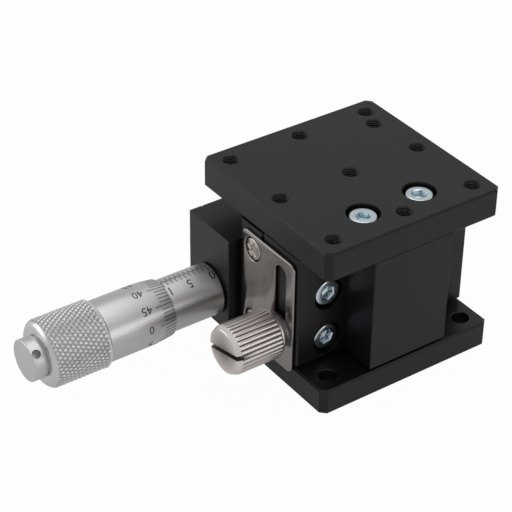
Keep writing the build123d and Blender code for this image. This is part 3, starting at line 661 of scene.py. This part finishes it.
def makeSleeveScale():
    # one line along the sleeve, whole marks in front of it and half marks behind
    s = scaleSize
    half = s["lineWidth"] / 2
    middle, width = s["fiducial"], math.degrees(half / s["sleeveRadius"])
    reach = s["sleeveMarks"] * s["sleevePitch"]
    shapes = [markShape(s["sleeveZero"] + s["fiducialOver"], s["sleeveZero"] - reach - s["fiducialOver"],
                        middle - width, middle + width, sleeveRadius)]
    for i in range(s["sleeveMarks"] + 1):
        x = s["sleeveZero"] - i * s["sleevePitch"]
        isLong = i % s["longEvery"] == 0
        top = middle + s["longMark" if isLong else "wholeMark"]
        shapes.append(markShape(x + half, x - half, middle + width, top, sleeveRadius, s["markSteps"]))
        between = x - s["sleevePitch"] / 2
        shapes.append(markShape(between + half, between - half, middle - s["halfMark"], middle - width,
                                sleeveRadius, s["markSteps"]))
        if isLong:
            shapes.append(numeralShape(str(i), x + s["sleeveDigitShift"], s["sleeveDigitAngle"],
                                       s["sleeveDigit"], sleeveRadius))
    addPiece("sleeveScale", shapes, "ink", "stage_base")


def makeThimbleScale():
    # divisions evenly spaced round the bevel; one whose angle is known places them all
    s, edge = scaleSize, thimbleSize["edge"]
    width = math.degrees(s["lineWidth"] / 2 / thimbleSize["edgeRadius"])
    shapes = []
    for i in range(s["divisions"]):
        angle = s["knownAngle"] + (i - s["knownDivision"]) * 360 / s["divisions"]
        isLong = i % s["longEvery"] == 0
        reach = s["thimbleLongMark" if isLong else "thimbleMark"]
        shapes.append(markShape(edge - s["thimbleStart"], edge - reach, angle - width, angle + width,
                                thimbleRadius))
        if isLong:
            shapes.append(numeralShape(str(i), edge - s["thimbleDigitPlace"], angle, s["thimbleDigit"],
                                       thimbleRadius))
    addPiece("thimbleScale", shapes, "ink", "micrometer_thimble")


makeSleeveScale()
makeThimbleScale()
print("scales made")


# Tapped holes: an inside thread for each.
springPlace = (14.6, 11.6)
threadSize = {
    "radius": 1.5, "depth": 0.27, "pitch": 0.5, "leadIn": 0.25, "wall": 0.02, "columns": 24, "perPitch": 6,
    "endGap": 0.1, "tableTopGap": 0.18, "holePitch": 16, "sharp": 60,
}
tableLow, tableHigh = (corner[2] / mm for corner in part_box("top_plate"))
baseLow, baseHigh = (corner[2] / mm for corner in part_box("base_plate"))


def threadShape(x, y, low, high):
    # a sleeve in the hole whose bore is a V thread: r = major - depth * wave(z / pitch - turn)
    t = threadSize
    rows = int((high - low) / t["pitch"] * t["perPitch"]) + 1
    z = np.linspace(high, low, rows)[:, None]
    angle = fullTurn(t["columns"])[None, :]
    ease = np.clip(np.minimum(high - z, z - low) / t["leadIn"], 0, 1)
    inner = t["radius"] - t["depth"] * wave(z / t["pitch"] - angle / (2 * np.pi)) * ease
    outer = np.full_like(inner, t["radius"] + t["wall"])[::-1]
    radius = np.concatenate([inner, outer, inner[:1]])
    height = np.concatenate([z, z[::-1], z[:1]])
    radius, height, angle = np.broadcast_arrays(radius, height, angle)
    points = np.stack([x + radius * np.cos(angle), y + radius * np.sin(angle), height], -1)
    return points, gridFaces(len(points), t["columns"])


def makeThreads(name, body, holes, low, high, topGap):
    t = threadSize
    shapes = [threadShape(x, y, low + t["endGap"], high - topGap) for x, y in holes]
    addPiece(name, shapes, "black", body, sharp=t["sharp"])


holeLines = [count * threadSize["holePitch"] for count in (-1, 0, 1)]
tableHoles = [(x, y) for x in holeLines for y in holeLines] + [springPlace]
baseHoles = [(holeLines[0], holeLines[2]), (holeLines[2], holeLines[2])]
makeThreads("tableThreads", "lift_table", tableHoles, tableLow, tableHigh, threadSize["tableTopGap"])
makeThreads("baseThreads", "stage_base", baseHoles, baseLow, baseHigh, threadSize["endGap"])
print("tapped holes threaded")


# Socket head screws. The seat is where the head's underside lies, and the length is counted from it.
screwSizes = {
    "m3": {"thread": 1.5, "head": 2.75, "height": 3.0, "key": 2.5, "pitch": 0.5, "threadDepth": 0.3},
    "m25": {"thread": 1.25, "head": 2.25, "height": 2.5, "key": 2.0, "pitch": 0.45, "threadDepth": 0.27},
}
screwDetail = {
    "columns": 72, "knurls": 36, "knurlDepth": 0.05, "footBreak": 0.15, "rim": 0.5, "rimSteps": 6,
    "mouth": 0.2, "socketShare": 0.5, "drillShare": 0.25, "perPitch": 4, "plainShare": 0.12,
}
screwPlaces = {
    "tableX": 6.5, "tableY": -12.3, "counterbore": 3.5,
    "railX": 12.85, "railSeat": -8.0, "railHeights": (10.0, 20.0),
    "blockSide": (17.2, 7.5), "blockRear": (8.0, 17.3), "blockSeat": 3.0,
}
tableSeat = tableHigh - screwPlaces["counterbore"]
screwSets = {
    "tableScrewHeads": {
        "node": "table_screws", "body": "lift_table", "kind": "m3", "length": 10.0,
        "seats": [(side * screwPlaces["tableX"], screwPlaces["tableY"], tableSeat) for side in (-1, 1)],
        "outward": (0, 0, 1), "turns": (12, 40),
    },
    "railScrewHeads": {
        "node": "moving_rail_screws", "body": "lift_table", "kind": "m3", "length": 10.3,
        "seats": [(side * screwPlaces["railX"], screwPlaces["railSeat"], z)
                  for side in (-1, 1) for z in screwPlaces["railHeights"]],
        "outward": (0, -1, 0), "turns": (8, 33, 21, 50),
    },
    "baseScrewHeads": {
        "node": "block_screws", "body": "stage_base", "kind": "m25", "length": 7.2,
        "seats": [(side * x, y, screwPlaces["blockSeat"])
                  for x, y in (screwPlaces["blockSide"], screwPlaces["blockRear"]) for side in (1, -1)],
        "outward": (0, 0, -1), "turns": (5, 25, 44, 12),
    },
}


def screwShape(kind, length, seat, outward, turn):
    # one polar surface, rows of (radius, height): from the tip up the thread, over the ribbed head with its
    # quarter round rim, and down the hexagon socket: half the key / cos(angle from the middle of a flat)
    s, d = screwSizes[kind], screwDetail
    angle = fullTurn(d["columns"])
    one = np.ones_like(angle)
    hexagon = s["key"] / 2 / np.cos(np.mod(angle, math.pi / 3) - math.pi / 6)
    ribs = s["head"] - d["knurlDepth"] * wave(angle / (2 * np.pi) * d["knurls"])
    plain = -length * d["plainShare"]
    threadZ = np.arange(-length + s["pitch"] / 2, plain, s["pitch"] / d["perPitch"])
    rim, top, foot = d["rim"], s["height"], d["footBreak"]
    floor = top - top * d["socketShare"]
    rows = [(0 * one, -length), (one * (s["thread"] - s["threadDepth"]), -length)]
    rows += [(threadRadius(s["thread"], s["threadDepth"], s["pitch"], z, angle), z) for z in threadZ]
    rows += [(one * s["thread"], plain), (one * s["thread"], 0), (one * (s["head"] - foot), 0), (ribs, foot),
             (ribs, top - rim - foot)]
    rows += [(one * (s["head"] - rim + rim * math.cos(bend)), top - rim + rim * math.sin(bend))
             for bend in np.linspace(0, math.pi / 2, d["rimSteps"])]
    rows += [(hexagon + d["mouth"], top), (hexagon, top - d["mouth"]), (hexagon, floor),
             (0 * one, floor - s["key"] * d["drillShare"])]
    radius = np.array([row[0] for row in rows])
    height = np.array([row[1] for row in rows])[:, None] * one
    local = np.stack([radius * np.cos(angle + turn), radius * np.sin(angle + turn), height], -1)
    spin = np.array(Vector(outward).to_track_quat("Z", "Y").to_matrix())
    return local @ spin.T + np.array(seat), gridFaces(len(rows), len(angle))


def makeScrews(name, node, body, kind, length, outward, seats, turns):
    shapes = [screwShape(kind, length, seat, outward, math.radians(turn)) for seat, turn in zip(seats, turns)]
    addPiece(name, shapes, "zinc", body, [node])


for screwName, values in screwSets.items():
    makeScrews(screwName, **values)
print("socket screws made")


# Lock thumbscrew: a ribbed knob with a slot, whose grooves run out before the plain cone of its nose.
knobSize = {
    "y": -6.7, "z": 12.45, "collar": 2.6, "collarStart": -21.16, "rimStart": -22.4, "ribStart": -22.85,
    "ribEnd": -31.85, "grooveEnd": -32.15, "runOut": 0.4, "end": -33.0, "root": 4.54, "crest": 4.9,
    "face": 4.4, "edge": 0.1, "faceEdge": 0.08, "ribs": 32, "perRib": 8, "ribRound": 0.35, "ribPower": 0.45,
    "ribShine": 0.85, "startRows": 6, "ribRows": 4, "noseRows": 14,
    "slotWidth": 0.9, "slotDepth": 1.3, "slotReach": 8, "slotAngle": -13.0,
    "threadTip": -15.6, "threadStep": 0.2, "threadRadius": 1.47, "threadDepth": 0.28, "pitch": 0.5,
    "perPitch": 6, "threadColumns": 32, "threadFoot": 0.05, "footStep": 0.1, "threadShine": 0.6,
}


def knobThread(centre):
    # the thread from its tip to its foot in the collar, closed at both ends
    k = knobSize
    turns = fullTurn(k["threadColumns"])
    tip, foot = k["threadTip"], k["collarStart"] - k["threadFoot"]
    x = np.arange(tip - k["threadStep"], foot, -k["pitch"] / k["perPitch"])[:, None]
    radius = threadRadius(k["threadRadius"], k["threadDepth"], k["pitch"], x, turns[None, :])
    return np.concatenate([revolve([(tip, 0.0), (tip, k["threadRadius"] - k["threadDepth"])], turns, centre),
                           roundX(x, radius, turns[None, :], centre),
                           revolve([(foot, k["threadRadius"] - k["footStep"]), (foot, 0.0)], turns, centre)])


def makeKnob():
    # each rib is a rounded bar, its height a cosine across it to a small power; a quarter ellipse starts it,
    # the grooves rise to the crest over the run-out, and the cone of the nose cuts all of it off
    k = knobSize
    centre = (k["y"], k["z"])
    angle = fullTurn(k["ribs"] * k["perRib"])
    across = np.abs(np.cos(angle * k["ribs"] / 2))[None, :] ** k["ribPower"]
    ribLength = k["ribStart"] - k["ribEnd"]
    startRows = np.linspace(0, 1, k["startRows"]) ** 2 * k["ribRound"]
    ribRows = np.linspace(k["ribRound"], ribLength - k["edge"], k["ribRows"])[1:]
    noseRows = np.linspace(ribLength, k["ribStart"] - k["end"] - k["edge"], k["noseRows"])
    along = np.concatenate([startRows, ribRows, noseRows])[:, None]
    ease = np.sqrt(np.clip(1 - (1 - np.clip(along / k["ribRound"], 0, 1)) ** 2, 0, 1))
    x = k["ribStart"] - along
    cone = k["crest"] - (k["crest"] - k["face"]) * np.clip((k["ribEnd"] - x) / (k["ribEnd"] - k["end"]), 0, 1)
    runOut = np.clip((k["grooveEnd"] + k["runOut"] - x) / k["runOut"], 0, 1) ** 2
    height = np.maximum(across * ease, runOut)
    radius = np.minimum(k["root"] + (k["crest"] - k["root"]) * height, cone)
    before = [(k["collarStart"], 0.0), (k["collarStart"], k["collar"]), (k["rimStart"], k["collar"]),
              (k["rimStart"], k["root"] - k["edge"]), (k["rimStart"] - k["edge"], k["root"])]
    after = [(k["end"], k["face"] - k["faceEdge"]), (k["end"], 0.0)]
    knobRows = np.concatenate([revolve(before, angle, centre), roundX(x, radius, angle[None, :], centre),
                               revolve(after, angle, centre)])
    thread = knobThread(centre)
    # painted shade: each rib darkens from its crest into the grooves; the rim, the plain cone and the face
    # keep the full crest colour, the hidden thread one fixed darker tone
    ribPaintedShade = np.where(radius < cone, np.maximum(across ** 2 * ease * k["ribShine"], runOut), 1.0)
    crest = [np.ones((len(before), len(angle))), ribPaintedShade, np.ones((len(after), len(angle))),
             np.full(thread.shape[:2], k["threadShine"])]
    shapes = [(rows, gridFaces(*rows.shape[:2])) for rows in (knobRows, thread)]
    knob = addPiece("thumbscrewKnob", shapes, "knobNickel", "lock_screw_body",
                    ["lock_thumbscrew"], crest=crest)
    # the slot is cut by a long box across the face, turned round the knob's axis
    corners = np.array([(x, y, z) for x in (-k["slotDepth"], k["slotDepth"])
                        for y in (-k["slotReach"], k["slotReach"])
                        for z in (-k["slotWidth"] / 2, k["slotWidth"] / 2)])
    lean = Matrix.Rotation(math.radians(k["slotAngle"]), 3, "X")
    cutAway(knob, corners @ np.array(lean).T + np.array([k["end"], *centre]), boxFaces)


makeKnob()
print("thumbscrew made")


# Lock plate: flat strip with rounded edges, a slot for the thumbscrew and two screw holes.
plateSize = {
    "back": 5.6, "front": -10.75, "low": 4.25, "high": 28.6, "corner": 1.5, "outer": -20.6, "inner": -20.0,
    "edge": 0.2, "edgeSteps": 2, "slotY": -6.7, "slotWidth": 3.4, "slotLow": 11.25, "slotHigh": 24.8,
    "screwY": 2.15, "screwHeights": (9.05, 25.25), "hole": 2.4,
    "cornerSteps": 13, "slotSteps": 25, "holeSteps": 49, "sharp": 40,
}


def arcPoints(centre, radius, start, end, steps):
    # points on an arc, angles in degrees from +U towards +V
    angle = np.radians(np.linspace(start, end, steps))
    return np.stack([centre[0] + radius * np.cos(angle), centre[1] + radius * np.sin(angle)], -1)


def makeLockPlate():
    # the outlines lie in a plane with U along -Y and V up; the flat curve fills them and rounds every edge
    p = plateSize
    r, half = p["corner"], p["slotWidth"] / 2
    left, right, low, high = r - p["back"], -p["front"] - r, p["low"] + r, p["high"] - r
    corners = [(right, high), (left, high), (left, low), (right, low)]
    outline = np.concatenate([arcPoints(corner, r, start, start + 90, p["cornerSteps"])
                              for corner, start in zip(corners, (0, 90, 180, 270))])
    slot = np.concatenate([arcPoints((-p["slotY"], p["slotHigh"]), half, 0, 180, p["slotSteps"]),
                           arcPoints((-p["slotY"], p["slotLow"]), half, 180, 360, p["slotSteps"])])
    holes = [arcPoints((-p["screwY"], z), p["hole"], 0, 360, p["holeSteps"])[:-1] for z in p["screwHeights"]]
    curve = bpy.data.curves.new("lockPlateOutline", "CURVE")
    curve.dimensions, curve.fill_mode = "2D", "BOTH"
    curve.extrude = (p["outer"] - p["inner"]) / -2 - p["edge"]
    curve.bevel_depth, curve.bevel_resolution, curve.offset = p["edge"], p["edgeSteps"], -p["edge"]
    for loop in [outline, slot] + holes:
        spline = curve.splines.new("POLY")
        spline.points.add(len(loop) - 1)
        spots = np.column_stack([loop, np.zeros(len(loop)), np.ones(len(loop))])
        spline.points.foreach_set("co", spots.ravel())
        spline.use_cyclic_u = True
    mesh = curveMesh(curve)
    flat = np.array([vert.co for vert in mesh.vertices])
    faces = [list(face.vertices) for face in mesh.polygons]
    middle = (p["outer"] + p["inner"]) / 2
    points = np.stack([middle - flat[:, 2], -flat[:, 0], flat[:, 1]], -1)
    addPiece("lockPlateBody", [(points, faces)], "nickel", "stage_base", ["lock_plate"],
             p["sharp"])


makeLockPlate()

# Lock plate screws: low heads let into the plate, a little domed, with a cross recess.
crossScrew = {
    "seat": -20.0, "head": 2.18, "neck": 1.45, "shank": 1.25, "length": 3.0, "pitch": 0.45,
    "threadDepth": 0.27, "threadEnd": -0.1, "perPitch": 4, "columns": 96, "sharp": 50, "turns": (24, 61),
    "sink": 0.12, "dome": 0.22, "rim": 0.14, "rimBend": (0.3, 1.2), "rimRows": 3, "topRows": 30,
    "armHalf": 0.4, "armReach": 1.55, "armSoft": 0.34,
    "recess": 0.75, "middleDeeper": 1.15, "tipShallower": 0.3,
}


def crossScrewShape(centre, turn):
    # polar surface, rows of (radius, height): the head's height is a dome less the recess, the deeper of two
    # crossed grooves. A groove's depth follows 3 s^2 - 2 s^3, where s falls from 1 to 0 over its flank.
    c = crossScrew
    angle = fullTurn(c["columns"])
    one = np.ones_like(angle)
    top = c["seat"] - plateSize["outer"] - c["sink"]
    threadZ = np.arange(-c["length"], c["threadEnd"], c["pitch"] / c["perPitch"])
    rows = [(0 * one, -c["length"] * one)]
    rows += [(threadRadius(c["shank"], c["threadDepth"], c["pitch"], z, angle), z * one) for z in threadZ]
    rows += [(one * c["neck"], 0 * one), (one * c["head"], (top - c["rim"]) * one)]
    bend = np.linspace(*c["rimBend"], c["rimRows"])
    radius = np.concatenate([c["head"] - c["rim"] * (1 - np.cos(bend)),
                             np.linspace(c["head"] - c["rim"], 0, c["topRows"])])
    drop = np.concatenate([c["rim"] * (1 - np.sin(bend)), np.zeros(c["topRows"])])[:, None]
    r, a = np.meshgrid(radius, angle + math.radians(turn), indexing="ij")
    lengthwise, sideways = np.abs(r * np.cos(a)), np.abs(r * np.sin(a))
    depth = 0 * r
    for reach, off in ((lengthwise, sideways), (sideways, lengthwise)):
        flank = np.clip((c["armHalf"] - off) / c["armSoft"] + 0.5, 0, 1)
        inside = flank * np.clip((c["armReach"] - reach) / c["armSoft"], 0, 1)
        slope = c["middleDeeper"] - c["tipShallower"] * reach / c["armReach"]
        depth = np.maximum(depth, c["recess"] * inside ** 2 * (3 - 2 * inside) * slope)
    rows += list(zip(r, top + c["dome"] * (1 - (r / c["head"]) ** 2) - depth - drop))
    radius = np.array([row[0] for row in rows])
    height = np.array([row[1] for row in rows])
    return roundX(c["seat"] - height, radius, angle, centre), gridFaces(len(rows), len(angle))


crossShapes = [crossScrewShape((plateSize["screwY"], z), turn)
               for z, turn in zip(plateSize["screwHeights"], crossScrew["turns"])]
addPiece("plateScrewHeads", crossShapes, "screwNickel", "stage_base", ["lock_plate_screws"],
         crossScrew["sharp"])
print("lock plate and its screws made")


# Return spring: round wire coil with a hook loop at each end. The real spring stretches as the table rises;
# this coil is made once at one length and rides on no body.
springSize = {
    "radius": 2.0, "wire": 0.3, "turns": 12, "perTurn": 28, "sides": 8, "sharp": 60,
    "lowLoop": 7.88, "highLoop": 25.86, "loop": 1.45, "loopColumns": 40, "bendTurn": 0.12, "bendSteps": 6,
}


def tubeShape(path, radius, sides, reference, closed=False):
    # a round bar along a path: each ring is set out from the path's direction and one fixed direction
    along = np.roll(path, -1, 0) - np.roll(path, 1, 0) if closed else np.gradient(path, axis=0)
    along /= np.linalg.norm(along, axis=1)[:, None]
    across = np.cross(along, reference)
    across /= np.linalg.norm(across, axis=1)[:, None]
    upward = np.cross(across, along)
    angle = fullTurn(sides)[None, :, None]
    rings = path[:, None] + radius * (np.cos(angle) * across[:, None] + np.sin(angle) * upward[:, None])
    if closed:
        rings = np.concatenate([rings, rings[:1]])
    else:
        rings = np.concatenate([path[:1, None].repeat(sides, 1), rings, path[-1:, None].repeat(sides, 1)])
    return rings, gridFaces(len(rings), sides)


def makeSpring():
    # the coil is a helix; at its two ends the radius falls to the axis as a quarter of a sine wave
    s = springSize
    x, y = springPlace
    turn = np.linspace(0, s["turns"], s["turns"] * s["perTurn"] + 1)
    low, high = s["lowLoop"] + s["loop"], s["highLoop"] - s["loop"]
    coilLow, coilHigh = low - s["wire"] / 2, high + s["wire"] / 2
    height = coilLow + (coilHigh - coilLow) * turn / s["turns"]
    inward = np.linspace(0, 1, s["bendSteps"] + 1)
    radius = np.concatenate([s["radius"] * np.sin(inward[:-1] * math.pi / 2), np.full(len(turn), s["radius"]),
                             s["radius"] * np.cos(inward[1:] * math.pi / 2)])
    spin = np.concatenate([(inward[:-1] - 1) * s["bendTurn"], turn, s["turns"] + inward[1:] * s["bendTurn"]])
    spin = spin * 2 * np.pi
    height = np.concatenate([np.full(s["bendSteps"], height[0]), height, np.full(s["bendSteps"], height[-1])])
    coil = np.stack([x + radius * np.cos(spin), y + radius * np.sin(spin), height], -1)
    shapes = [tubeShape(coil, s["wire"], s["sides"], (0, 0, 1.0))]
    ring = fullTurn(s["loopColumns"])
    for middle in (s["lowLoop"], s["highLoop"]):
        loop = np.stack([x + s["loop"] * np.cos(ring), 0 * ring + y, middle + s["loop"] * np.sin(ring)], -1)
        shapes.append(tubeShape(loop, s["wire"], s["sides"], (0, 1.0, 0), True))
    spring = addPiece("springCoil", shapes, "spring", None, ["return_spring"], s["sharp"])
    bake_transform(spring)


makeSpring()
print("spring made")
